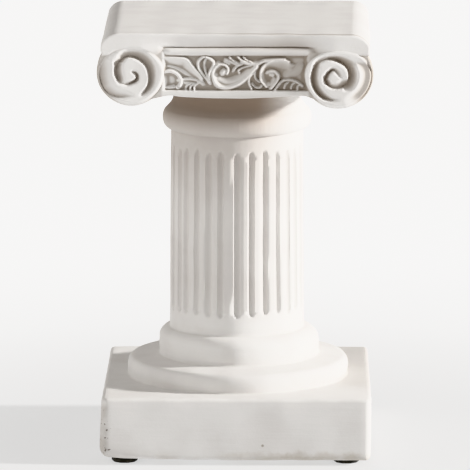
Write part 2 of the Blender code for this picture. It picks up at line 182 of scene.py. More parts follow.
# %% Flute positions
FLUTES = 30
FLUTE_HALF_WIDTH = 1.75
FLUTE_DEPTH = 1.5
FLUTE_LOW, FLUTE_HIGH = 62.9, 140.4
FRONT_FLUTE = math.radians(-89.2)
FRONT_SHIFTS = (1.4, -1.4, -1.0, -0.9, -2.0, 0.2, 0.3, 0.4, 0.9, 1.4, 0.7)
chance = np.random.default_rng(14)
flute_shift = chance.uniform(-0.9, 0.9, FLUTES)
flute_shift[np.arange(-5, 6)] = FRONT_SHIFTS
flute_middle = FRONT_FLUTE + np.radians(np.arange(FLUTES) * 360 / FLUTES + flute_shift)
flute_half = FLUTE_HALF_WIDTH * chance.uniform(0.93, 1.07, FLUTES)
flute_low = FLUTE_LOW + chance.uniform(-0.7, 0.7, FLUTES)
flute_high = FLUTE_HIGH + chance.uniform(-0.8, 0.8, FLUTES)
print(FLUTES, "flutes, spaced", round(360 / FLUTES, 1), "degrees on average")

# %% [markdown]
# Each flute gets seven columns of points across it, close together at its two sharp edges, and
# one more on the land before the next one.

# %% Columns round the shaft
ACROSS_FLUTE = np.array([-1.0, -0.82, -0.45, 0.0, 0.45, 0.82, 1.0])
LAND_SHARE = 0.5
ON_LAND = 9.0
flute_angle = flute_half / SHAFT_FOOT_RADIUS
inside = flute_middle[:, None] + ACROSS_FLUTE * flute_angle[:, None]
next_start = np.append(inside[1:, 0], inside[0, 0] + 2 * math.pi)
land = inside[:, -1:] + (next_start - inside[:, -1])[:, None] * LAND_SHARE
column_angle = np.concatenate([inside, land], axis=1).ravel()
column_flute = np.repeat(np.arange(FLUTES), len(ACROSS_FLUTE) + 1)
COLUMNS = len(column_angle)
print(COLUMNS, "columns of points round the shaft")

# %% [markdown]
# ## The plinth's square outline on the same columns
#
# The plinth is square and the shaft is round, but both are one skin. So the same columns run
# round the square: most of them are spread along its four sides, and nine sit on each rounded
# corner. The top of the plinth is the band where the square eases into the circle.

# %% Columns round the square
CORNER_COLUMNS = 9
SIDE_COLUMNS = COLUMNS // 4 - CORNER_COLUMNS


def square_template():
    """Two arrays: the square without its corners, and each point's way out from there.

    A rounded square is the first, scaled to its half-width less its corner radius, plus the
    second, scaled to the corner radius. The front side and its right corner are worked out,
    and three quarter turns of them give the other sides.
    """
    along = np.linspace(-1, 1, SIDE_COLUMNS + 2)[1:-1]
    turn = np.radians(np.linspace(-90, 0, CORNER_COLUMNS))
    core = np.concatenate([np.column_stack([along, -np.ones(SIDE_COLUMNS)]),
                           np.tile([1.0, -1.0], (CORNER_COLUMNS, 1))])
    out = np.concatenate([np.tile([0.0, -1.0], (SIDE_COLUMNS, 1)),
                          np.column_stack([np.cos(turn), np.sin(turn)])])
    sides = []
    for part in (core, out):
        turned = [part]
        for _ in range(3):
            turned.append(np.column_stack([-turned[-1][:, 1], turned[-1][:, 0]]))
        sides.append(np.concatenate(turned))
    return sides


square_core, square_out = square_template()
ring_angle = np.arctan2(square_core[:, 1], square_core[:, 0])
start = int(np.argmin(np.abs(ring_angle - column_angle[0])))
square_core = np.roll(square_core, -start, axis=0)
square_out = np.roll(square_out, -start, axis=0)
print("the first column faces point", start, "of the square")

# %% [markdown]
# ## The lower body: plinth, mouldings, shaft and neck as one skin
#
# The skin is drawn as rows from the middle of the underside to the inside of the capital. Each
# row is part square and part circle. The plinth leans a little: its left side slopes out
# towards the ground and stands a little off it, and its lower left corner at the front is worn
# round.

# %% Rows of the plinth
EDGE_TOP = 1.7
EDGE_LOW = 2.3
WORN_CORNER, WORN_REACH = 3.2, 11
PLINTH_CORNER, CORNER_WEAR, WEAR_REACH = 2.6, 0.8, 6
LEFT_RISE = 0.6
PLINTH_LEAN = 0.75
FACE_CIRCLE = 52.6


def plinth_rows():
    """Underside, lower edge, sides, upper edge and top of the plinth: an array of rows.

    The edges are quarter circles: a row at angle a lies r (1 - sin a) inside the side and
    r (1 - cos a) over the underside. The worn corner adds to r where a column is near it.
    """
    flat = square_core * (PLINTH_HALF - PLINTH_CORNER) + square_out * PLINTH_CORNER
    from_worn = np.hypot(flat[:, 0] + PLINTH_HALF, flat[:, 1] + PLINTH_HALF)
    low_edge = EDGE_LOW + WORN_CORNER * np.exp(-(from_worn / WORN_REACH) ** 2)
    corner = PLINTH_CORNER + CORNER_WEAR * np.exp(-(from_worn / WEAR_REACH) ** 2)
    floor = PLINTH_LOW + LEFT_RISE * smooth_step(5, 60, -flat[:, 0])
    rows = []

    def square_row(inset, height, share=1.0, radius=0.0):
        rise = (height - PLINTH_LOW) / (PLINTH_HIGH - PLINTH_LOW)
        half = PLINTH_HALF - PLINTH_DRAFT * (0.25 + 0.75 * rise) - inset
        lean = PLINTH_LEAN * (rise - 0.45)
        bend = np.maximum(corner - inset, 0.4)
        x = square_core[:, 0] * (half - bend) + square_out[:, 0] * bend + lean
        y = square_core[:, 1] * (half - bend) + square_out[:, 1] * bend
        x = x * share + radius * np.cos(column_angle) * (1 - share)
        y = y * share + radius * np.sin(column_angle) * (1 - share)
        rows.append(np.column_stack([x, y, np.broadcast_to(height, x.shape)]))

    for share, radius in ((0.0, 14), (0.05, 28), (0.3, 42), (0.7, 52)):
        square_row(low_edge + 4 * (1 - share), floor, share, radius)
    for angle in np.radians(np.linspace(0, 90, 6)):
        square_row(low_edge * (1 - np.sin(angle)), floor + low_edge * (1 - np.cos(angle)))
    foot = floor + low_edge
    head = PLINTH_HIGH - EDGE_TOP
    for share in np.linspace(0, 1, 9)[1:-1]:
        square_row(0.0, foot + (head - foot) * share)
    for angle in np.radians(np.linspace(90, 0, 6)):
        square_row(EDGE_TOP * (1 - np.sin(angle)), head + EDGE_TOP * np.cos(angle))
    for share in (0.88, 0.7, 0.5, 0.3, 0.12, 0.0):
        square_row(EDGE_TOP + 2 * (1 - share), PLINTH_HIGH, share, FACE_CIRCLE)
    return np.stack(rows)


plinth = plinth_rows()
print("plinth:", plinth.shape[0], "rows of", plinth.shape[1], "points")

# %% [markdown]
# The mouldings were turned on a profile. The wide low one has a nearly upright side and slopes
# up to the drum. The drum sits about a millimetre off the axis, as the casting's does. The neck
# ring is a soft roll with a faint crease where its upper slope starts.

# %% Profile of the mouldings, from the plinth's top to the shaft
low_moulding = smooth_line([(51.9, 31.2), (51.25, 31.5), (51.15, 32.6), (51.4, 34.6),
                            (51.3, 36.8), (50.8, 38.6), (49.6, 39.8), (47.0, 40.2),
                            (41.5, 40.75), (38.1, 41.1), (37.3, 41.5), (37.1, 42.6)], 2)
drum = smooth_line([(37.15, 43.4), (37.3, 45.6), (37.1, 48.0)], 3)
shoulder = arc((SHAFT_FOOT_RADIUS, DRUM_SHOULDER), (DRUM_RADIUS - SHAFT_FOOT_RADIUS, 5.3),
               4, 86, 9)
base_profile = np.concatenate([low_moulding, drum, shoulder, [(31.5, 54.25)]])
base_shift = np.interp(base_profile[:, 1], [31.2, 40.0, 41.2, DRUM_SHOULDER, SHAFT_LOW],
                       [0.3, 0.5, 1.0, 1.0, 0])
print("base profile:", len(base_profile), "rows")

# %% Profile of the shaft and the neck ring
flute_rows = np.concatenate([np.arange(61.8, 66.6, 0.55), np.linspace(69, 132, 9),
                             np.arange(134.4, 141.7, 0.6)])
shaft_heights = np.concatenate([[55.6, 58.0, 60.5], flute_rows, [143.0, 145.2, 146.8]])
neck_roll = smooth_line([(30.7, 147.25), (32.3, 147.75), (33.7, 149.1), (34.4, 151.0),
                         (34.6, 153.0), (34.25, 155.0), (33.45, 156.5), (32.9, 157.0),
                         (31.9, 158.1), (30.7, 159.5), (29.8, 161.2), (29.3, 163.4),
                         (29.1, 166.0)], 2)
neck_profile = np.concatenate([neck_roll, [(29.0, 169.0), (29.0, 172.5)]])
print(len(shaft_heights), "rows on the shaft and", len(neck_profile), "on the neck")

# %% [markdown]
# A flute is a hollow in the shaft's radius. Across it the depth follows a rounded curve that is
# steepest at its two edges. Near its ends the hollow gets narrower and shallower together, which
# draws the narrow gouge mark at the top and the rounder tip below.

# %% The fluted shaft
TAPER_LOW, TAPER_HIGH = 2.6, 4.2


def flute_hollow(heights):
    """Depth of each column at each height: (1 - (c / w) squared) to 0.85, times w to 0.6.

    c is the place across the flute, from -1 to 1 and far over 1 on the land, and w the flute's
    opening there, which is a quarter circle along the taper at each end and 1 between them.
    """
    place = np.tile(np.append(ACROSS_FLUTE, ON_LAND), FLUTES)
    z = heights[:, None]
    below = np.clip((z - flute_low[column_flute]) / TAPER_LOW, 0, 1)
    above = np.clip((flute_high[column_flute] - z) / TAPER_HIGH, 0, 1)
    opening = np.sqrt(1 - (1 - below) ** 2) * np.sqrt(1 - (1 - above) ** 2)
    share = np.clip(1 - (place / np.maximum(opening, 0.05)) ** 2, 0, 1)
    return FLUTE_DEPTH * share ** 0.85 * opening ** 0.6


def turned_rows(profile, shift, hollow):
    """Rows of a turned shape: radius less hollow round the circle, moved across by a shift."""
    radius = profile[:, :1] - hollow
    x = radius * np.cos(column_angle) + shift[:, None]
    y = radius * np.sin(column_angle)
    z = np.broadcast_to(profile[:, 1:], x.shape)
    return np.stack([x, y, z], axis=-1)


shaft_rise = (shaft_heights - SHAFT_LOW) / (SHAFT_HIGH - SHAFT_LOW)
shaft_radius = SHAFT_FOOT_RADIUS + (SHAFT_HEAD_RADIUS - SHAFT_FOOT_RADIUS) * shaft_rise
shaft_profile = np.column_stack([shaft_radius, shaft_heights])
body_rows = np.concatenate([
    plinth,
    turned_rows(base_profile, base_shift, np.zeros(1)),
    turned_rows(shaft_profile, np.zeros(len(shaft_profile)), flute_hollow(shaft_heights)),
    turned_rows(neck_profile, np.zeros(len(neck_profile)), np.zeros(1))])
print("lower body:", body_rows.shape[0], "rows and", body_rows.shape[0] * COLUMNS, "points")

# %% [markdown]
# ## The uneven skin
#
# Poured and hand-rubbed plaster is never quite flat. A few long, faint waves in random
# directions, the same ones every time, move each point by about a tenth of a millimetre.

# %% Faint waves
wave_ways = chance.normal(size=(3, 14, 3))
wave_ways *= chance.uniform(0.12, 0.5, (3, 14, 1)) / np.linalg.norm(wave_ways, axis=2)[..., None]
wave_starts = chance.uniform(0, 2 * math.pi, (3, 14))


def uneven(points, amount):
    """Adds to each coordinate the sum of 14 sine waves over the root of 14, times amount."""
    shift = [np.sin(points @ ways.T + starts).sum(axis=1) / math.sqrt(len(starts))
             for ways, starts in zip(wave_ways, wave_starts)]
    return points + amount * np.stack(shift, axis=-1)


SKIN_WAVES = 0.09
body_points = uneven(body_rows.reshape(-1, 3), SKIN_WAVES)
largest_move = np.abs(body_points - body_rows.reshape(-1, 3)).max()
print("largest move in mm:", round(float(largest_move), 2))

# %% The lower body's mesh
poles = np.array([[0, 0, PLINTH_LOW + LEFT_RISE / 2], [0, 0, body_rows[-1, 0, 2]]])
grid = np.arange(len(body_points)).reshape(body_rows.shape[:2])
body_quads = quads_between(grid, closed=True)
body_caps = np.concatenate([fan(grid[0][::-1], len(body_points)),
                            fan(grid[-1], len(body_points) + 1)])
body = surface_object("column_finish", np.concatenate([body_points, poles]),
                      body_quads, body_caps)

# %% [markdown]
# ## The capital's two faces
#
# The capital is like a thick cushion: a front face, a back face, and a skin between them that
# runs over the top, the rounded shoulders, the rolls and the underside. Both faces are grids of
# columns from their lower edge up to their upper edge. The lower edge follows the scrolls'
# round bottoms and the sagging underside between them, and the upper edge follows the slab.
# Both lie 0.7 mm inside the outline, because the skin between the faces starts by bending round
# an edge of that size.

# %% Grid of a face
SCROLL_COLUMNS, PANEL_COLUMNS = 76, 172
ROW_HEIGHTS = np.concatenate([np.linspace(169.3, 173.4, 10), np.linspace(173.8, 189.4, 38),
                              np.linspace(189.8, 192.4, 7), np.linspace(192.7, 194.1, 7),
                              np.linspace(194.7, 200.0, 10)])
row_share = (ROW_HEIGHTS - BLOCK_LOW) / (TOP - BLOCK_LOW)
face_columns = 2 * SCROLL_COLUMNS + PANEL_COLUMNS + 1
print("a face has", face_columns, "columns and", len(row_share), "rows")


def even_spread(line, count):
    """Count points spread evenly along a line of points, by its running length."""
    run = np.append(0, np.cumsum(np.hypot(*np.diff(line, axis=0).T)))
    wanted = np.linspace(0, run[-1], count)
    return np.column_stack([np.interp(wanted, run, values) for values in line.T])


def lower_edge(left, right, underside):
    """The left scroll's lower arc, the underside and the right scroll's lower arc, as points."""
    count = SCROLL_COLUMNS + 1
    left_arc = arc(left["centre"], (left["radius"],) * 2, 180, 360 - left["meets"], count)
    right_arc = arc(right["centre"], (right["radius"],) * 2, 180 + right["meets"], 360, count)
    line = smooth_line([left_arc[-1], *underside, right_arc[0]], 12)
    return np.concatenate([left_arc[:-1], even_spread(line, PANEL_COLUMNS + 1), right_arc[1:]])


def upper_edge(left_end, right_end, left_top, right_top, radius, lower):
    """The slab's rounded shoulders and its top, as points over those of the lower edge."""
    left_bend = arc((left_end + radius, left_top - radius), (radius,) * 2, 155, 90, 30)
    right_bend = arc((right_end - radius, right_top - radius), (radius,) * 2, 90, 25, 30)
    middle = lower[SCROLL_COLUMNS:-SCROLL_COLUMNS, 0]

    def top_at(x):
        share = (x - left_bend[-1, 0]) / (right_bend[0, 0] - left_bend[-1, 0])
        return left_top + (right_top - left_top) * share

    top = np.column_stack([middle, top_at(middle)])
    left = even_spread(np.concatenate([left_bend, top[:1]]), SCROLL_COLUMNS + 1)
    right = even_spread(np.concatenate([top[-1:], right_bend]), SCROLL_COLUMNS + 1)
    return np.concatenate([left[:-1], top, right[1:]])


def face_grid(left, right, lower, upper):
    """A grid between the lower and the upper edge, rows by columns, as x and z.

    Over the scrolls a column runs straight from edge to edge. Over the panel the edges' ups and
    downs fade with the cube of the distance, so the rows are level at the carving. The two
    side columns are drawn in to the scroll's round side and to the notch over it.
    """
    share = row_share[:, None]
    x = lower[:, 0] * (1 - share) + upper[:, 0] * share
    panel = smooth_step(40, 32, np.abs(lower[:, 0]))
    fade = 1 + 2 * panel
    z = (ROW_HEIGHTS[:, None] + (lower[:, 1] - BLOCK_LOW) * (1 - share) ** fade
         + (upper[:, 1] - TOP) * share ** fade)
    for side, scroll, column in ((-1, left, 0), (1, right, -1)):
        rise = z[:, column] - scroll["centre"][1]
        reach = np.sqrt(np.maximum(scroll["radius"] ** 2 - rise ** 2, 0))
        round_side = scroll["centre"][0] + side * reach
        slab_side = upper[column, 0] + side * 0.55 * smooth_step(196, 193, z[:, column])
        over = smooth_step(scroll["notch"] - 0.6, scroll["notch"] + 0.6, z[:, column])
        goal = round_side * (1 - over) + slab_side * over
        near = np.exp(-np.abs(x - x[:, column][:, None]) / 3.5)
        x = x + (goal - x[:, column])[:, None] * near
    return np.stack([x, z], axis=-1)


# %% [markdown]
# The front's scrolls aren't level: the right one hangs over 1 mm lower than the left, and the
# top edge slopes down with it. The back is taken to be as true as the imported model.

# %% Outlines of the front and the back
FRONT_LEFT = {"centre": (-47.1, 182.1), "radius": 15.0, "meets": 52.7, "notch": 190.9}
FRONT_RIGHT = {"centre": (46.6, 180.9), "radius": 15.1, "meets": 44.3, "notch": 189.6}
FRONT_UNDERSIDE = ((-30, 171.8), (-22, 171.1), (0, 170.5), (14, 170.9), (24, 171.6),
                   (31, 171.8))
BACK_SCROLL = {"radius": 14.8, "meets": 57.2, "notch": 191.2}
BACK_LEFT = {"centre": (-47.1, 182.4), **BACK_SCROLL}
BACK_RIGHT = {"centre": (47.1, 182.4), **BACK_SCROLL}
front_lower = lower_edge(FRONT_LEFT, FRONT_RIGHT, FRONT_UNDERSIDE)
front_upper = upper_edge(-60.6, 60.3, 199.1, 198.3, radius=8.3, lower=front_lower)
back_lower = lower_edge(BACK_LEFT, BACK_RIGHT, ((-20, 170.0), (20, 170.0)))
back_upper = upper_edge(-61.2, 61.2, 198.1, 198.1, radius=7.0, lower=back_lower)
front_grid = face_grid(FRONT_LEFT, FRONT_RIGHT, front_lower, front_upper)
back_grid = face_grid(BACK_LEFT, BACK_RIGHT, back_lower, back_upper)
print("front face spans", np.round(front_grid.min(axis=(0, 1)), 1),
      "to", np.round(front_grid.max(axis=(0, 1)), 1))

# %% [markdown]
# ## Levels of the face
#
# The carving is a height over the panel's field: how far each point stands forward of it. Every
# part of the face is one height function of across and up, and the greater height wins where
# two parts meet, as where a carver left more plaster standing.

# %% Slab, beads and field
FIELD_Y = 59.2
FACE_LEVEL = 3.1
FIELD_LEFT, FIELD_RIGHT = -31.8, 32.3
PANEL_MIDDLE = 1.5
SLAB_UNDER, SLAB_LEAN, SLAB_END_LEVEL = 193.1, 1.1, 2.85
BEAD_LOW, BEAD_RISE = 189.2, 2.0
MOULDING_FULL, MOULDING_RISE, END_RISE = 172.2, 1.95, 1.9


def roll_level(z, low, high, rise):
    """A half round bead between two heights: rise times the root of 1 - t squared."""
    t = (z - (low + high) / 2) / ((high - low) / 2)
    return rise * np.sqrt(np.clip(1 - t * t, 0, 1))


def slab_level(x, z):
    """The slab's front: full at its ends, and leaning back under its top edge between them."""
    out = np.abs(x - PANEL_MIDDLE)
    end = smooth_step(26, 45, out)
    lean = 1.0 + SLAB_LEAN * smooth_step(193.6, 199.0, z)
    body = lean * (1 - end) + SLAB_END_LEVEL * end
    under = smooth_step(SLAB_UNDER, SLAB_UNDER + 0.6, z)
    return body * np.maximum(under, smooth_step(30, 37, out) * smooth_step(187.5, 190.5, z))


def moulding_level(x, z):
    """Bead over the panel, moulding under it, and the plain ends that join both to the scrolls."""
    upper = roll_level(z, BEAD_LOW, SLAB_UNDER, BEAD_RISE)
    upper = upper * smooth_step(40, 31, np.abs(x - PANEL_MIDDLE))
    drop = np.maximum(MOULDING_FULL - z, 0) / 3.4
    lower = MOULDING_RISE * np.sqrt(np.clip(1 - drop ** 2, 0, 1)) * smooth_step(174.0, 173.3, z)
    end = np.maximum(smooth_step(FIELD_LEFT + 1.8, FIELD_LEFT - 1.2, x),
                     smooth_step(FIELD_RIGHT - 1.0, FIELD_RIGHT + 1.5, x))
    return np.maximum.reduce([upper, lower, END_RISE * end * smooth_step(193.4, 190.5, z)])


# %% [markdown]
# ## The scrolls
#
# Each scroll is a disc with one spiral groove cut into it. The groove isn't even: one wall is
# steep and the other a wide slope, as a gouge leaves when it is leaned to one side. So a groove
# is drawn as stations: an angle, the distance from the eye, how wide the slope is, and how deep
# it is cut. The left scroll has a second, shallow groove just inside its rim.

# %% Spiral stations: degrees, distance from the eye, width of the slope, depth
LEFT_SPIRAL = (
    (-62, 9.4, 1.2, 0.2), (-50, 9.1, 2.0, 1.2), (-25, 8.5, 3.2, 1.9), (5, 8.1, 4.0, 2.1),
    (40, 8.5, 4.6, 2.1), (75, 8.9, 4.6, 2.0), (105, 9.3, 3.6, 1.7), (125, 8.7, 3.2, 1.7),
    (140, 8.7, 3.2, 2.0), (157, 7.9, 3.6, 2.0), (175, 7.0, 3.8, 2.0), (190, 6.3, 3.4, 1.8),
    (205, 5.5, 2.4, 0.9), (225, 4.7, 1.6, 0.6), (243, 3.9, 1.5, 1.0), (270, 2.9, 1.3, 1.6),
    (312, 2.5, 1.5, 1.8), (353, 2.5, 1.5, 1.8), (395, 2.4, 1.3, 1.7), (432, 2.3, 0.9, 0.9))
LEFT_CHANNEL = (
    (128, 13.4, 2.0, 0.1), (150, 14.2, 4.0, 0.6), (165, 14.5, 5.0, 1.0), (178, 14.3, 5.4, 1.2),
    (191, 14.0, 5.4, 1.3), (203, 13.6, 5.2, 1.1), (214, 13.0, 5.0, 1.2), (225, 12.2, 4.6, 1.2),
    (237, 11.1, 4.0, 1.1), (250, 9.8, 3.2, 0.9), (262, 8.9, 2.0, 0.5), (275, 8.6, 1.0, 0.1))
RIGHT_SPIRAL = (
    (-97, 9.8, 1.0, 0.2), (-75, 10.4, 2.0, 1.2), (-58, 10.8, 3.0, 1.8), (-30, 11.0, 3.6, 2.0),
    (0, 10.9, 3.6, 2.0), (30, 10.8, 3.0, 1.7), (50, 10.2, 2.2, 1.1), (62, 9.6, 2.0, 1.1),
    (73, 8.9, 2.2, 1.6), (90, 7.9, 3.0, 2.0), (111, 7.1, 4.0, 2.1), (133, 6.7, 4.5, 2.1),
    (159, 6.3, 4.5, 2.1), (184, 5.9, 4.5, 2.1), (208, 5.6, 4.4, 1.9), (238, 4.9, 3.6, 1.5),
    (268, 4.4, 3.0, 1.1), (308, 4.75, 2.6, 1.4), (331, 4.9, 2.6, 1.8), (353, 5.2, 2.4, 1.9),
    (371, 4.6, 2.2, 1.9), (402, 4.0, 1.8, 1.7), (425, 4.0, 1.5, 1.5), (441, 3.5, 1.8, 1.2),
    (456, 2.6, 2.4, 1.0), (485, 2.0, 2.4, 0.8), (517, 2.1, 2.0, 0.5), (535, 2.4, 1.2, 0.1))
LEFT_EYE, RIGHT_EYE = (-47.0, 179.9), (45.6, 179.5)
STEEP_WALL = 0.75
SLANT = 0.707


def stroke_distance(x, z, start, end):
    """Signed distance to a straight stroke, left of it positive, and the share along it."""
    run = end[:2] - start[:2]
    length = max(float(np.hypot(*run)), 1e-6)
    share = np.clip(((x - start[0]) * run[0] + (z - start[1]) * run[1]) / length ** 2, 0, 1)
    away_x, away_z = x - start[0] - share * run[0], z - start[1] - share * run[1]
    side = np.where(run[0] * away_z - run[1] * away_x >= 0, 1.0, -1.0)
    return side * np.hypot(away_x, away_z), share


def spiral_depth(x, z, mirror, spiral):
    """Depth of the groove: full on its line, and falling to 0 over the wall on either side.

    The stations are joined by a smooth line, which is followed stroke by stroke. A positive
    distance lies on the left of a stroke. Up and to the column's right of the line the wall is
    the wide slope, and on the other side it is steep. The right scroll is drawn mirrored.
    """
    line = smooth_line(spiral, 3)
    turn = np.radians(line[:, 0])
    path = np.column_stack([line[:, 1] * np.cos(turn), line[:, 1] * np.sin(turn), line[:, 2:]])
    depth = np.zeros_like(x)
    for start, end in zip(path[:-1], path[1:]):
        away, share = stroke_distance(x, z, start, end)
        slope, cut = (start[k] + (end[k] - start[k]) * share for k in (2, 3))
        run = (end[:2] - start[:2]) / np.hypot(*(end[:2] - start[:2]))
        facing = SLANT * (run[0] - mirror * run[1])
        gentle = smooth_step(-0.4, 0.5, np.where(away > 0, facing, -facing))
        wall = STEEP_WALL + (slope - STEEP_WALL) * gentle
        depth = np.maximum(depth, cut * np.clip(1 - np.abs(away) / wall, 0, 1))
    return depth


# %% [markdown]
# The disc's own outline is round below and flatter above, where the scroll grows out of the
# slab's end. Its front edge is rubbed round. On the left scroll a crease parts it from the slab,
# and on the right one the outer rim is a flat band that lies lower than the rest.

# %% Scroll discs
DISC_UP = 10.9
GROOVE_CUT = 1.6
RUB_DEPTH = 1.5


def scroll_level(x, z, side, scroll, eye, spirals, rubbed):
    """Level of one scroll, and how far each point lies inside the disc's outline.

    The level is that of the disc, less its rubbed edge, its crease, its low rim and its grooves.
    """
    across, up = side * (x - scroll["centre"][0]), z - scroll["centre"][1]
    angle = np.arctan2(up, across)
    above = np.where(up > 0, DISC_UP, scroll["radius"])
    edge = 1 / np.sqrt((np.cos(angle) / scroll["radius"]) ** 2 + (np.sin(angle) / above) ** 2)
    inward = edge - np.hypot(across, up)
    disc = FACE_LEVEL * smooth_step(-0.9, 0.1, inward)
    from_bottom = np.mod(np.degrees(angle) + 90, 360)
    width = np.interp(from_bottom, *np.transpose(rubbed["slope"]))
    rub = RUB_DEPTH + rubbed["turn"] * smooth_step(0.2, 0.9, np.cos(angle))
    rub = rub * smooth_step(8, 1, up) * (inward > -0.9)
    disc = disc - rub * np.clip(1 - np.maximum(inward, 0) / width, 0, 1) ** 1.5
    crease = rubbed["crease"] * smooth_step(2, 6, up) * np.exp(-((inward + 0.1) / 0.7) ** 2)
    rim = rubbed["rim"] * smooth_step(5.8, 2.6, inward) * smooth_step(0.2, 0.7, np.cos(angle))
    depth = [spiral_depth(-side * (x - eye[0]), z - eye[1], -side, line) for line in spirals]
    cut = GROOVE_CUT * np.max(depth, axis=0) * smooth_step(0, 0.6, inward)
    return disc - cut - crease - rim * smooth_step(7.5, 4, up), inward


LEFT_RUB = {"crease": 0.8, "rim": 0.0, "turn": 0.3,
            "slope": ((0, 1.5), (60, 1.0), (110, 0.8), (270, 0.8), (360, 1.5))}
RIGHT_RUB = {"crease": 0.0, "rim": 1.3, "turn": 0.0,
             "slope": ((0, 1.2), (30, 0.9), (150, 0.7), (180, 0.6), (270, 0.8), (360, 1.2))}

# %% [markdown]
# ## The carved foliage
#
# The panel's foliage is a set of ridges, each drawn as a line of points with a flank on either
# side. A flank has a width and a fullness: 2 is a round side, 1 a plain slope and less than 1 a
# hollow, as a gouge leaves. A few short cuts sink the darkest corners.

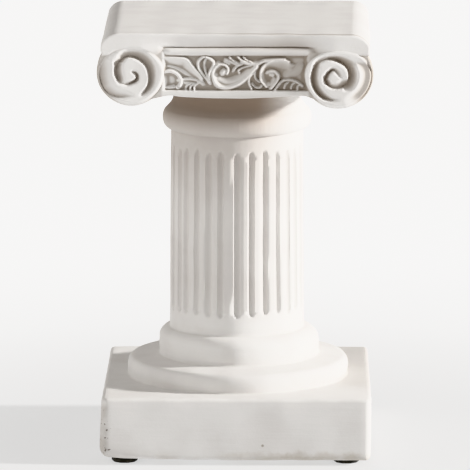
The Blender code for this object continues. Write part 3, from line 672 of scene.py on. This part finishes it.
# %% Ridges: rise, left flank, right flank, line
RIDGES = (
    (2.1, (0.9, 2), (3.9, 0.7), ((-38.8, 187.9), (-35.6, 188.2), (-32, 188.5), (-27.5, 188.5),
     (-23.4, 188.2), (-21.3, 187), (-19.7, 184.9), (-17.9, 182.6), (-16.3, 180.6), (-15.2, 179))),
    (0.8, (1.2, 1.2), (2.2, 1), ((-35.2, 184.9), (-29.7, 184.5), (-24.3, 182.6), (-20.6, 180.3),
     (-18.8, 179.4))),
    (2, (1.5, 1.5), (1.2, 2), ((-34.1, 180.3), (-31.8, 181.9), (-28.8, 182.3), (-26.1, 181),
     (-24.6, 178.5), (-24.9, 176.4), (-26.1, 175))),
    (1.3, (1.2, 1.5), (1.2, 1.5), ((-33.4, 176.4), (-32, 175.1), (-30, 174.7), (-27.9, 175))),
    (1.7, (1, 1.5), (1.1, 1.5), ((-24.5, 178.5), (-22.5, 178.9), (-20.2, 178.9), (-17.5, 178.2),
     (-14.7, 176.6))),
    (1.15, (1.8, 1.5), (1.8, 1.5), ((-25.2, 178.1), (-22.5, 177.1), (-19.3, 176.7))),
    (1.7, (0.75, 1.5), (0.75, 1.5), ((-20.4, 176.7), (-22, 175.7), (-22.8, 174.4), (-21.8, 173))),
    (1.8, (0.75, 1.5), (0.75, 1.5), ((-18.4, 176.9), (-20, 175.8), (-20.6, 174.4), (-20, 172.7))),
    (1.9, (0.8, 1.5), (0.85, 1.5), ((-16.1, 177.4), (-17.7, 176.5), (-18.6, 175.3),
     (-18.7, 173.5))),
    (1.9, (1, 2), (0.9, 1.5), ((-11.8, 177.1), (-13.1, 179), (-15.2, 181.5), (-16.6, 184),
     (-16.6, 186.5), (-15.2, 188.3), (-14.1, 188.8))),
    (1.8, (0.8, 1.5), (0.8, 1.5), ((-11.8, 177.1), (-12.9, 180.3), (-13.8, 183.1), (-14.1, 185.8),
     (-13.4, 187.7))),
    (2.1, (0.8, 1.5), (1, 2), ((-11.5, 176.7), (-12, 180.3), (-11.5, 182.6), (-10.2, 184.7),
     (-9.9, 186.5), (-11.3, 187.9), (-13.1, 188.7))),
    (2.1, (1.7, 2), (1.7, 2), ((-5.8, 181.6), (-5.1, 182.5))),
    (2.1, (0.9, 1.6), (1, 1.6), ((-3.8, 181.3), (-3.2, 183.1), (-4, 184.8), (-5.9, 185.6),
     (-7.7, 185.4), (-9.2, 184.1))),
    (2, (1.9, 0.9), (2.1, 1.3), ((-7.7, 185.4), (-9.5, 183.6), (-10.2, 180.8), (-9.5, 178.1),
     (-7.7, 175.9))),
    (2.1, (3.6, 1), (1.6, 1.8), ((-10, 179.9), (-9.4, 177.8), (-7.6, 175.8), (-5.2, 174.8),
     (-2.7, 175), (1.2, 176.5), (4.8, 179.2), (7.5, 182.4), (9.6, 184.6))),
    (1.5, (2.6, 1.4), (2, 1.6), ((-7.5, 178.7), (-4.3, 177.4), (-0.6, 177.8), (3, 179.7),
     (6.2, 182.6))),
    (1.9, (0.9, 1.5), (1.2, 1.5), ((1.6, 185.1), (-0.6, 186), (-2.7, 187), (-4.3, 187.6))),
    (1.6, (1.2, 1.5), (1.2, 1.5), ((-4.5, 186.8), (-2.9, 185.9))),
    (1.9, (0.75, 1.5), (0.8, 1.5), ((2.1, 185.7), (0.3, 186.6), (-1.3, 187.6), (-2.6, 188.7))),
    (2, (0.8, 1.5), (0.9, 1.5), ((6.2, 185.8), (3.7, 187), (2.2, 187.9), (1.3, 188.9))),
    (1.9, (0.7, 1.5), (0.8, 1.5), ((7.5, 186.3), (5.5, 187.4), (3.8, 188.6))),
    (1.7, (0.9, 1.5), (1, 1.5), ((3, 185.5), (1.2, 184.8), (-0.2, 183.6), (-1, 182.4))),
    (1.8, (0.75, 1.5), (0.8, 1.5), ((7.1, 185), (4.8, 184.5), (2.8, 183.7), (1.5, 182.7),
     (1.9, 181.5))),
    (2, (1.4, 1.8), (1.3, 1.2), ((3, 186.5), (5.3, 185.9), (7.5, 185.6), (10.3, 185.9),
                                 (13, 186.9),
     (15.7, 187.1), (18.9, 187.4), (22.1, 187.4))),
    (1.9, (0.8, 1.6), (0.8, 1.6), ((8.9, 182), (7.1, 180.6), (6.1, 178.7), (6.2, 176.7),
     (7.4, 174.2))),
    (1.8, (0.75, 1.6), (0.75, 1.6), ((8.9, 182.2), (8.8, 180.3), (9.5, 178.8), (11, 177.6))),
    (1.6, (0.8, 1.5), (0.8, 1.5), ((7.6, 176.7), (9.2, 175), (11.2, 174.9), (11.9, 175.9))),
    (1.7, (1.1, 1.5), (1.1, 1.5), ((5.7, 181.5), (7.5, 183.3), (9.8, 185.2), (11.6, 186.3))),
    (2.1, (2.6, 0.7), (0.75, 1.8), ((16.2, 186.8), (13.6, 185.6), (11.8, 183.6), (11.3, 180.8),
     (11.5, 178.5), (12.7, 176.7), (14.1, 175.3))),
    (1.9, (1.2, 1.8), (4.2, 0.8), ((14.8, 187), (18.9, 187.3), (21.6, 187.3), (23.9, 186.5))),
    (1.9, (1.3, 2), (1.3, 2), ((16, 181), (16.9, 180.6))),
    (2, (1, 1.5), (1.5, 1.4), ((14.4, 182), (16, 182.5), (18, 182), (19.6, 180.2), (19.1, 178.1),
     (17.4, 175.8), (16.2, 174.4))),
    (1.35, (1.6, 1.6), (1.6, 1.6), ((15.1, 176.4), (16.4, 176.4), (17.7, 178.9))),
    (1.8, (0.8, 1.5), (1.2, 1.2), ((17.7, 173.5), (19.6, 176.2), (21.2, 177.9), (23.9, 178.6),
     (26.6, 178.2), (28.9, 177.1), (30.3, 175.9))),
    (1.7, (0.7, 1.5), (0.7, 1.5), ((23.9, 177.3), (22.7, 176.2), (22.3, 174.6))),
    (1.7, (0.7, 1.5), (0.7, 1.5), ((26.8, 177.1), (25.6, 176.1), (25.3, 174.5))),
    (1.6, (0.7, 1.5), (0.7, 1.5), ((29.6, 176.5), (28.2, 175.5), (28.2, 174.1))),
    (0.7, (2.6, 1.5), (2.6, 1.5), ((23.9, 180.3), (26.6, 182.2), (29.4, 184))),
    (0.75, (2.4, 1.2), (2.4, 1.2), ((22.1, 185.8), (24.8, 183.1), (23, 179.9))),
)
# Cuts: half width, depth, line
CUTS = (
    (0.5, 0.9, ((-26.1, 175.2), (-25.7, 174.8))),
    (0.6, 1, ((-23.7, 173.8), (-22.9, 174.8))),
    (0.55, 0.8, ((-13.4, 184.8), (-13.1, 185.8))),
    (0.35, 0.6, ((-14.6, 186), (-14.2, 183.1))),
    (0.5, 0.7, ((5, 188.2), (6, 187.3))),
    (0.45, 0.8, ((20.7, 174.4), (21.3, 175.3))),
    (0.45, 0.9, ((23.9, 175), (25, 176.2))),
    (0.45, 0.8, ((27.2, 175.1), (27.6, 175.9))),
    (0.4, 0.9, ((32.5, 187.9), (32.3, 186.3), (32, 184.7))),
)
SOFT_JOIN = 7


def foliage_level(x, z, ridges, cuts):
    """Ridges joined softly, less the cuts.

    A ridge stands rise (1 - t to the fullness) over the field, with t the distance from its
    line over the flank's width. Ridges join as the seventh root of the sum of seventh powers.
    """
    total = np.zeros_like(x)
    for rise, left_flank, right_flank, points in ridges:
        line = smooth_line(points, 3)
        reach = max(left_flank[0], right_flank[0])
        near = ((x > line[:, 0].min() - reach) & (x < line[:, 0].max() + reach)
                & (z > line[:, 1].min() - reach) & (z < line[:, 1].max() + reach))
        level = np.zeros(near.sum())
        for start, end in zip(line[:-1], line[1:]):
            away, _ = stroke_distance(x[near], z[near], start, end)
            for flank, side in ((left_flank, away > 0), (right_flank, away <= 0)):
                share = np.clip(np.abs(away) / flank[0], 0, 1)
                level = np.maximum(level, np.where(side, rise * (1 - share ** flank[1]), 0))
        total[near] += level ** SOFT_JOIN
    total = total ** (1 / SOFT_JOIN)
    for width, depth, points in cuts:
        for start, end in zip(np.asarray(points)[:-1], np.asarray(points)[1:]):
            away, _ = stroke_distance(x, z, start, end)
            total -= depth * np.clip(1 - (away / width) ** 2, 0, 1)
    return total


print(len(RIDGES), "ridges and", len(CUTS), "cuts in the panel")

# %% [markdown]
# The whole face is the greatest of its parts. The back has the same make-up with its scrolls
# level and true, and the foliage turned with it, since only the front was finished with care.

# %% Front and back levels


def face_level(x, z, left, right, ridges, cuts):
    """Level of a face: the greatest of slab, mouldings, scrolls and foliage."""
    level = np.maximum(moulding_level(x, z), slab_level(x, z))
    panel = (x > FIELD_LEFT - 1) & (x < FIELD_RIGHT + 1) & (z < BEAD_LOW + 0.4)
    level = np.where(panel, np.maximum(level, foliage_level(x, z, ridges, cuts)), level)
    left_scroll = scroll_level(x, z, -1, left, LEFT_EYE, (LEFT_SPIRAL, LEFT_CHANNEL), LEFT_RUB)
    right_scroll = scroll_level(x, z, 1, right, RIGHT_EYE, (RIGHT_SPIRAL,), RIGHT_RUB)
    for disc, inward in (left_scroll, right_scroll):
        share = smooth_step(-0.35, 0.35, inward)
        level = np.maximum(level, np.where(inward > -0.9, disc, 0)) * (1 - share) + disc * share
    return level


front_x, front_z = front_grid[..., 0], front_grid[..., 1]
back_x, back_z = back_grid[..., 0], back_grid[..., 1]
front_level = face_level(front_x, front_z, FRONT_LEFT, FRONT_RIGHT, RIDGES, CUTS)
back_level = face_level(-back_x, back_z, BACK_LEFT, BACK_RIGHT, RIDGES, ())
print("front stands", round(float(front_level.max()), 2), "mm over the field at most")

# %% [markdown]
# ## The skin between the faces
#
# From the edge of the front face the skin bends round a 0.7 mm edge, runs back over the rolls
# with their slight waist, and bends into the back face. It shares the faces' edge points.

# %% Rings round the capital
EDGE_ROUND = 0.7
ROLL_FACE = 8.0
ROLL_WAIST = 1.4


def edge_numbers(rows, columns):
    """Numbers of a grid's outer points, counter-clockwise from its lower left corner."""
    number = np.arange(rows * columns).reshape(rows, columns)
    return np.concatenate([number[0, :-1], number[:-1, -1], number[-1, :0:-1], number[:0:-1, 0]])


rows, columns = front_grid.shape[:2]
rim = edge_numbers(rows, columns)
front_points = np.stack([front_x, -FIELD_Y - front_level, front_z], axis=-1).reshape(-1, 3)
back_points = np.stack([back_x, FIELD_Y + back_level, back_z], axis=-1).reshape(-1, 3)


def outward(ring):
    """Unit way out from each point of a closed outline, from its two neighbours."""
    along = np.roll(ring, -3, axis=0) - np.roll(ring, 3, axis=0)
    way = np.column_stack([along[:, 2], np.zeros(len(ring)), -along[:, 0]])
    return way / np.maximum(np.linalg.norm(way, axis=1), 1e-9)[:, None]


def edge_rings(edge, out, behind):
    """Three rings round an edge: at angle a, r sin a outside it and r (1 - cos a) behind it."""
    return [edge + EDGE_ROUND * (np.sin(angle) * out + (1 - np.cos(angle)) * np.array(behind))
            for angle in np.radians((30, 60, 90))]


def skin_rings(front, back):
    """Rings from the front edge to the back edge: rounded, then straight less the rolls' waist."""
    front_out, back_out = outward(front), outward(back)
    front_rings = edge_rings(front, front_out, (0, 1, 0))
    back_rings = edge_rings(back, back_out, (0, -1, 0))
    start, end = front_rings[-1], back_rings[-1]
    near = np.array([4.5, ROLL_FACE, ROLL_FACE + 1.4]) / np.mean(end[:, 1] - start[:, 1])
    places = np.concatenate([near, [0.3, 0.5, 0.7], 1 - near[::-1]])[:, None, None]
    waist = ROLL_WAIST * np.array([0, 0, 1, 1, 1, 1, 1, 0, 0])[:, None, None]
    on_roll = smooth_step(34, 40, np.abs(front[:, 0])) * smooth_step(192, 189.5, front[:, 2])
    straight = start + (end - start) * places
    straight = straight - waist * on_roll[:, None] * (front_out + back_out) / 2
    return np.concatenate([front_rings, straight, back_rings[::-1]])


rings = skin_rings(front_points[rim], back_points[rim])
grid_count = rows * columns
ring_numbers = 2 * grid_count + np.arange(rings[..., 0].size).reshape(rings.shape[:2])
grid = np.arange(grid_count).reshape(rows, columns)
strip = np.concatenate([rim[None], ring_numbers, rim[None] + grid_count])
capital_quads = np.concatenate([quads_between(grid, closed=False),
                                quads_between((grid + grid_count)[:, ::-1], closed=False),
                                quads_between(strip[::-1], closed=True)])
capital_points = np.concatenate([front_points, back_points, rings.reshape(-1, 3)])
capital_points = uneven(capital_points, SKIN_WAVES)
capital = surface_object("capital_finish", capital_points, capital_quads, np.empty((0, 3), int))

# %% [markdown]
# ## One casting
#
# The capital and the lower body overlap where the neck runs up into the block. An exact union
# welds them, so the finish is one closed skin like the casting.

# %% Union
SHARP_ANGLE = math.radians(62)
joint = body.modifiers.new("joint", "BOOLEAN")
joint.operation = "UNION"
joint.solver = "EXACT"
joint.object = capital
bpy.context.view_layer.update()
joined = body.evaluated_get(bpy.context.evaluated_depsgraph_get())
welded = bpy.data.meshes.new_from_object(joined)
body.modifiers.clear()
body.data = welded
bpy.data.objects.remove(capital)
welded.shade_smooth()
welded.set_sharp_from_angle(angle=SHARP_ANGLE)
triangles = sum(len(face.vertices) - 2 for face in welded.polygons)
print("one casting of", len(welded.vertices), "points and", triangles, "triangles")

# %% [markdown]
# ## How hollow each point is
#
# Old paint keeps dirt in its hollows and is rubbed off its edges, and shade falls in the
# hollows. Only the hollows are used here, darkened with dirt and painted shade together. They
# are read from the shape: if a point lies below the mean of its neighbours, it is in a hollow.
# The neighbours' mean is taken over a few rounds, and the difference along the point's normal is
# kept as an attribute.

# %% Hollow attribute
HOLLOW_ROUNDS = 12


def hollow_of(mesh):
    """Distance from each point to its smoothed place, along its normal, in millimetres."""
    count = len(mesh.vertices)
    place, way = np.empty((2, count * 3))
    mesh.vertices.foreach_get("co", place)
    mesh.vertices.foreach_get("normal", way)
    place, way = place.reshape(-1, 3) / MM, way.reshape(-1, 3)
    ends = np.empty(len(mesh.edges) * 2, np.int32)
    mesh.edges.foreach_get("vertices", ends)
    one, other = ends.reshape(-1, 2).T
    ends, opposite = np.concatenate([one, other]), np.concatenate([other, one])
    near = np.maximum(np.bincount(ends, minlength=count), 1)
    smooth = place
    for _ in range(HOLLOW_ROUNDS):
        total = [np.bincount(ends, smooth[opposite, axis], count) for axis in range(3)]
        smooth = np.stack(total, axis=1) / near[:, None]
    return ((smooth - place) * way).sum(axis=1)


hollow = hollow_of(welded)
kept = welded.attributes.new("hollow", "FLOAT", "POINT")
kept.data.foreach_set("value", hollow.astype(np.float32))
print("hollow runs from", round(float(hollow.min()), 2), "to", round(float(hollow.max()), 2), "mm")

# %% [markdown]
# ## Node helpers
#
# The finishes are built from a few nodes each, so small helpers add a node, set its inputs and
# link them.

# %% Node helpers


def node(tree, kind, inputs=(), **settings):
    """Adds a node; each input is a value or another node's socket."""
    made = tree.nodes.new(kind)
    for key, value in settings.items():
        setattr(made, key, value)
    for key, value in dict(inputs).items():
        if isinstance(value, bpy.types.NodeSocket):
            tree.links.new(value, made.inputs[key])
        else:
            made.inputs[key].default_value = value
    return made


def maths(tree, operation, *values):
    """The result socket of one operation on the values or sockets given."""
    made = node(tree, "ShaderNodeMath", enumerate(values), operation=operation)
    return made.outputs[0]


def product(tree, first, *others):
    """The first value times all the others."""
    for other in others:
        first = maths(tree, "MULTIPLY", first, other)
    return first


def ramp(tree, value, low, high):
    """0 below low and 1 above high, eased; low may be the greater, which turns it round."""
    inputs = {"Value": value, "From Min": min(low, high), "From Max": max(low, high),
              "To Min": float(low > high), "To Max": float(low < high)}
    made = node(tree, "ShaderNodeMapRange", inputs, interpolation_type="SMOOTHSTEP")
    return made.outputs["Result"]


def blend(tree, share, first, second):
    """The first colour where share is 0 and the second where it is 1."""
    made = node(tree, "ShaderNodeMix", {0: share, 6: first, 7: second}, data_type="RGBA")
    return made.outputs[2]


def noise(tree, vector, scale, detail=3.0, rough=0.55):
    """A noise value about 0.5."""
    made = node(tree, "ShaderNodeTexNoise", {"Vector": vector, "Scale": scale, "Detail": detail,
                                             "Roughness": rough})
    return made.outputs["Fac"]


def stretched(tree, vector, scale):
    """The place vector times a scale on each axis."""
    return node(tree, "ShaderNodeMapping", {"Vector": vector, "Scale": scale}).outputs[0]


def new_material(name):
    """A material with its node tree, its shader and the object's own coordinates."""
    material = bpy.data.materials.new(name)
    material.use_nodes = True
    tree = material.node_tree
    place = node(tree, "ShaderNodeTexCoord").outputs["Object"]
    return material, tree, tree.nodes["Principled BSDF"], place


def dress(tree, shader, colour, roughness, bump_inputs):
    """Links a colour and a bump to the shader, and sets how rough it is."""
    tree.links.new(colour, shader.inputs["Base Color"])
    shader.inputs["Roughness"].default_value = roughness
    bump = node(tree, "ShaderNodeBump", bump_inputs)
    tree.links.new(bump.outputs["Normal"], shader.inputs["Normal"])


# %% [markdown]
# ## The plaster's finish
#
# A thin matt white ground, brushed on, with faint clouds in it. Tints lie over it, each in a
# zone of the column. A zone is a product of ramps, and a ramp runs along one of the column's
# axes or along a distance made from them. Dirt and painted shade darken the hollows, the
# panel's field and the slopes of the grooves, and the back right of the plinth's top is a
# little darker. A brown painted shade covers the shaded side of the shaft, darkest on the neck.
# The foot is stained, most of all at the left front corner, where the paint is worn.

# %% Colours, and zones as ramps: axis, where it starts and where it is full, in millimetres
WHITE = (0.80, 0.79, 0.775, 1)
CLOUD = (0.765, 0.75, 0.735, 1)
# Brown for dirt and wear, and also for painted shade in the capital's hollows and recesses.
DIRT_AND_SHADE = (0.29, 0.24, 0.19, 1)
STAIN = (0.40, 0.34, 0.25, 1)
DARK = (0.10, 0.075, 0.055, 1)
# Brown painted shade for the shaded side of the shaft and the neck.
PAINTED_SHADE = (0.27, 0.205, 0.155, 1)
CAPITAL, PLINTH = ("Z", 166, 171), ("Z", 30, 26)
SCROLLS, FRONT = ("width", 32.5, 34), ("Y", -57.5, -58.5)
ZONES = {
    # ledge: the back right of the plinth's top, tinted a little darker.
    "ledge": (("Z", 33.5, 32), ("Z", 29, 30), ("X", 40, 52), ("Y", -50, -20)),
    "capital": (CAPITAL,),
    "faces": (("depth", 55, 57.5),),
    "scrolls": (SCROLLS,),
    # field: the panel's recessed field, darkened with painted shade and dirt.
    "field": (("Y", -62.2, -59.4), FRONT, CAPITAL),
    "rightward": (("X", -34, 20),),
    # slopes: the slopes of the scrolls' grooves, darkened with painted shade and dirt.
    "slopes": (("Y", -62.2, -60.4), SCROLLS, FRONT, CAPITAL, ("Z", 193.5, 190.5)),
    # shaded: the left, shaded side of the shaft and neck under the capital, where shade is
    # painted.
    "shaded": (("radius", 39, 36), ("Z", 172.5, 170.5), ("X", 32, 8)),
    "shaft": (("Z", 52, 80),),
    "shaft head": (("Z", 105, 150),),
    "neck": (("Z", 146, 163),),
    "foot": (("foot", 7.5, 3),),
    "worn": (("corner", -94.5, -98.5), PLINTH),
    "chipped": (("corner", -94, -95), ("corner", -98.5, -97), PLINTH),
    "pinhole": (("pinhole", 0.8, 0.4),),
    "neck ring": (("Z", 147.5, 149.5), ("Z", 159, 156)),
}
print(len(ZONES), "zones in the finish")

# %% [markdown]
# The distances read the object's own coordinates, which are in metres. The stain's edge is made
# ragged by a noise, and a single pinhole lies low on the plinth's front.

# %% What the zones are measured along
RAGGED_EDGE = 0.009
PINHOLE = (0.0125, -0.0622, 0.0095)


def plaster_axes(tree, place):
    """The object's own axes, and the distances that are made from them, by name."""
    part = node(tree, "ShaderNodeSeparateXYZ", {0: place}).outputs
    flat = node(tree, "ShaderNodeVectorMath", {0: place, 1: (1, 1, 0)}, operation="MULTIPLY")
    radius = node(tree, "ShaderNodeVectorMath", {0: flat.outputs[0]}, operation="LENGTH")
    hole = node(tree, "ShaderNodeVectorMath", {0: place, 1: PINHOLE}, operation="DISTANCE")
    rough = noise(tree, place, 160, 4)
    ragged = maths(tree, "MULTIPLY_ADD", rough, RAGGED_EDGE, -RAGGED_EDGE / 2)
    slanted = maths(tree, "MULTIPLY_ADD", part["Y"], 0.6, part["X"])
    return {"X": part["X"], "Y": part["Y"], "Z": part["Z"],
            "width": maths(tree, "ABSOLUTE", part["X"]),
            "depth": maths(tree, "ABSOLUTE", part["Y"]),
            "radius": radius.outputs["Value"], "pinhole": hole.outputs["Value"],
            "foot": maths(tree, "ADD", part["Z"], ragged),
            "corner": maths(tree, "MULTIPLY_ADD", ragged, 0.7, slanted)}


# %% [markdown]
# Each tint has a colour, a strength and a share, which is its zone or a pattern within it. They
# are laid on one after the other. Fine pores, brush strokes along the top and the combed marks
# on the neck ring are too small to model, so they are a bump of a few hundredths of a millimetre.

# %% Plaster material


def plaster_material():
    """White ground with clouds, dirt and painted shade in the hollows, painted shade on the shaft,
    stains at the foot and a fine bump.
    """
    material, tree, shader, place = new_material("plaster finish")
    axes = plaster_axes(tree, place)

    def zone(name):
        return product(tree, *(ramp(tree, axes[axis], low * MM, high * MM)
                               for axis, low, high in ZONES[name]))

    def scaled(value, factor, more):
        return maths(tree, "MULTIPLY_ADD", value, factor, more)

    on_capital = zone("capital")
    depth = node(tree, "ShaderNodeAttribute", attribute_name="hollow").outputs["Fac"]
    # The capital's hollows are darkened, partly dirt and partly painted shade, from the hollow
    # attribute.
    hollow_dirt_and_shade = product(tree, ramp(tree, depth, 0.02, 0.30), scaled(on_capital, 0.65, 0.05),
                    maths(tree, "MAXIMUM", zone("faces"), scaled(on_capital, -1.0, 1.0)),
                    scaled(zone("scrolls"), -0.85, 1.0))
    # Painted shade on the shaded side of the shaft, stronger upwards and darkest on the neck under
    # the capital.
    painted_shaft_shade = scaled(zone("shaft head"), 0.28, scaled(zone("shaft"), 0.16, 0.0))
    painted_shaft_shade = scaled(zone("neck"), 0.50, painted_shaft_shade)
    blotches = ramp(tree, noise(tree, place, 38, 3), 0.34, 0.62)
    specks = ramp(tree, noise(tree, place, 700, 1), 0.66, 0.70)
    colour = blend(tree, ramp(tree, noise(tree, place, 45, 4), 0.42, 0.66), WHITE, CLOUD)
    for tint, strength, share in (
            # The back right of the plinth's top, a little darker.
            (DIRT_AND_SHADE, 0.26, zone("ledge")),
            # Painted shade and dirt in the hollows.
            (DIRT_AND_SHADE, 1.0, hollow_dirt_and_shade),
            # Painted shade and dirt in the panel's recessed field, stronger towards the right.
            (DIRT_AND_SHADE, 1.0, product(tree, zone("field"), scaled(zone("rightward"), 0.50, 0.08))),
            # Painted shade and dirt on the slopes of the scrolls' grooves.
            (DIRT_AND_SHADE, 0.62, zone("slopes")),
            # Brown painted shade on the shaded side of the shaft and neck.
            (PAINTED_SHADE, 1.0, product(tree, painted_shaft_shade, zone("shaded"))),
            (STAIN, 0.42, product(tree, zone("foot"), blotches)),
            (DIRT_AND_SHADE, 0.4, zone("worn")),
            (DARK, 0.8, product(tree, zone("chipped"), specks)),
            (DIRT_AND_SHADE, 0.7, zone("pinhole"))):
        colour = blend(tree, product(tree, share, strength), colour, tint)

    brushed = noise(tree, stretched(tree, place, (0.12, 1.0, 1.0)), 420, 3, 0.6)
    height = scaled(noise(tree, place, 900, 4, 0.65), 0.5, brushed)
    combed = noise(tree, stretched(tree, place, (1.0, 1.0, 0.1)), 800, 2)
    height = scaled(product(tree, combed, zone("neck ring")), 1.6, height)
    dress(tree, shader, colour, 0.72, {"Strength": 0.55, "Distance": 0.00016, "Height": height})
    shader.inputs["Specular IOR Level"].default_value = 0.35
    return material


plaster = plaster_material()
body.data.materials.clear()
body.data.materials.append(plaster)
print("plaster finish on", body.name)

# %% [markdown]
# ## The foot pads
#
# Soft dots of dark rubber. They pick up dust, so they are mottled and have a dull, grainy skin.

# %% Pad material


def pad_material():
    """Near-black rubber, dusty in patches, with a fine grain."""
    material, tree, shader, place = new_material("pad finish")
    dust = ramp(tree, noise(tree, place, 300, 4), 0.45, 0.75)
    colour = blend(tree, dust, (0.022, 0.021, 0.017, 1), (0.075, 0.07, 0.058, 1))
    grain = noise(tree, place, 1500, 3)
    dress(tree, shader, colour, 0.68, {"Strength": 0.4, "Distance": 0.0002, "Height": grain})
    return material


pad = pad_material()
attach(body, "root")
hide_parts("column_casting")
PADS = ("foot_pad_front_left", "foot_pad_front_right",
        "foot_pad_back_left", "foot_pad_back_right")
for name in PADS:
    bpy.data.objects[name].material_slots[0].material = pad
print(len(PADS), "pads")

# %% [markdown]
# ## Floor
#
# The column stands on a plain near-white surface that reaches beyond the picture on every side.
# It gives off some light of its own, more of it further out, so that it looks like a paper
# sweep lit from behind and is still darker close to the column.

# %% Floor
FLOOR_HALF = 15.0
NEAR_FLOOR, FAR_FLOOR = 0.05, 0.5
GLOW_NEAR, GLOW_FAR = 0.56, 1.05
floor_mesh = bpy.data.meshes.new("floor")
corners = [(x * FLOOR_HALF, y * FLOOR_HALF, 0) for x, y in ((-1, -1), (1, -1), (1, 1), (-1, 1))]
floor_mesh.from_pydata(corners, [], [(0, 1, 2, 3)])
floor = bpy.data.objects.new("floor", floor_mesh)
bpy.context.scene.collection.objects.link(floor)
floor_material, floor_tree, floor_shader, floor_place = new_material("floor white")
for name, value in (("Base Color", (0.30, 0.30, 0.30, 1)), ("Roughness", 0.9),
                    ("Specular IOR Level", 0.1), ("Emission Color", (1, 1, 1, 1))):
    floor_shader.inputs[name].default_value = value
reach = node(floor_tree, "ShaderNodeVectorMath", {0: floor_place}, operation="LENGTH")
glow = ramp(floor_tree, reach.outputs["Value"], NEAR_FLOOR, FAR_FLOOR)
glow = maths(floor_tree, "MULTIPLY_ADD", glow, GLOW_FAR - GLOW_NEAR, GLOW_NEAR)
floor_tree.links.new(glow, floor_shader.inputs["Emission Strength"])
floor_mesh.materials.append(floor_material)
print("floor", 2 * FLOOR_HALF, "m square")

# %% [markdown]
# ## Light
#
# One large lamp stands low on the right, nearly square to the camera's line, and leaves the
# left half of the column in a soft, slightly brown shade. A weak wide lamp on the left and a
# weak surrounding light fill that shade.

# %% Lamps
CAMERA_TURN = math.radians(0.7)
KEY_AZIMUTH, KEY_HEIGHT = math.radians(85), math.radians(16)


def sun(name, azimuth, height, strength, angle, colour):
    """A distant lamp: azimuth from the camera's side towards +X, and height over the floor."""
    data = bpy.data.lights.new(name, "SUN")
    data.energy = strength
    data.angle = math.radians(angle)
    data.color = colour
    lamp = bpy.data.objects.new(name, data)
    towards = Vector((math.sin(azimuth) * math.cos(height),
                      -math.cos(azimuth) * math.cos(height), math.sin(height)))
    lamp.rotation_euler = towards.to_track_quat("Z", "Y").to_euler()
    bpy.context.scene.collection.objects.link(lamp)
    return lamp


sun("key", KEY_AZIMUTH + CAMERA_TURN, KEY_HEIGHT, 5.8, 5, (1.0, 0.99, 0.98))
sun("fill", math.radians(-70), math.radians(32), 0.8, 50, (1.0, 0.98, 0.95))
world = bpy.data.worlds.new("studio")
world.use_nodes = True
surround = world.node_tree.nodes["Background"].inputs
surround["Color"].default_value = (1.0, 0.955, 0.91, 1)
surround["Strength"].default_value = 0.34
bpy.context.scene.world = world
bpy.context.scene.view_settings.view_transform = "Khronos PBR Neutral"
print("key lamp at", round(math.degrees(KEY_HEIGHT)), "degrees")

# %% [markdown]
# ## Camera
#
# A long lens from about 2.3 m away and 0.4 m above the column's middle, which shows its top as
# a thin band and keeps its sides nearly upright.

# %% Camera
CAMERA_REACH, CAMERA_HEIGHT = 2.29, 0.505
AIM = Vector((-0.0009, 0.0, 0.0964))
VIEW_WIDTH = 0.2195
camera_data = bpy.data.cameras.new("camera")
camera = bpy.data.objects.new("camera", camera_data)
camera.location = (math.sin(CAMERA_TURN) * CAMERA_REACH, -math.cos(CAMERA_TURN) * CAMERA_REACH,
                   CAMERA_HEIGHT)
sight = AIM - camera.location
camera.rotation_euler = sight.to_track_quat("-Z", "Y").to_euler()
camera_data.sensor_width = 36
camera_data.lens = camera_data.sensor_width * sight.length / VIEW_WIDTH
camera_data.clip_end = 50
bpy.context.scene.collection.objects.link(camera)
bpy.context.scene.camera = camera
print("lens", round(camera_data.lens, 1), "mm at", round(sight.length, 3), "m")
